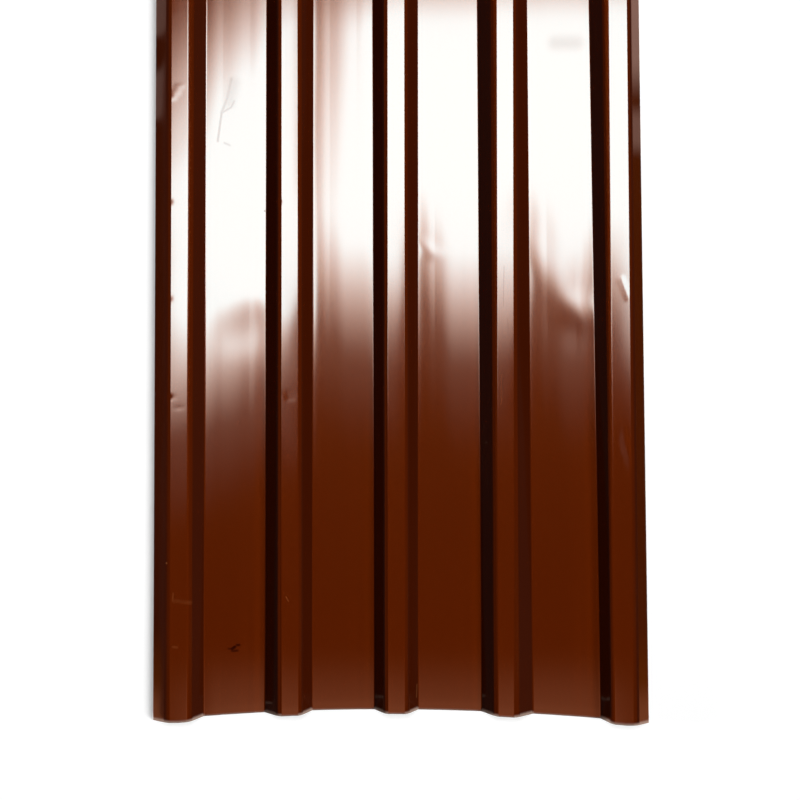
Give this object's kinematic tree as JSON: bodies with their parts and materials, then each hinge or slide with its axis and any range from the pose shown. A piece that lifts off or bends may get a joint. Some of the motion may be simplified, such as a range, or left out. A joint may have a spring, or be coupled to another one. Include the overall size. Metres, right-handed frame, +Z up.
{
  "type": "box profile sheet",
  "caption": "Long coated steel cladding sheet, roll-formed into low trapezoidal ribs with wide flat pans between them, for roofs, walls and fences.",
  "frame": {"origin": "middle of the sheet, on the plane that the undersides of the pans rest on", "axes": "+X across the ribs, +Y along the ribs, +Z up out of the painted face"},
  "size_m": [0.8862, 2, 0.025],
  "materials": {
    "brown_coat": "gloss coil-coated paint, chocolate brown"
  },
  "bodies": {
    "root": {"profiled_sheet": "brown_coat"}
  },
  "joints": []
}
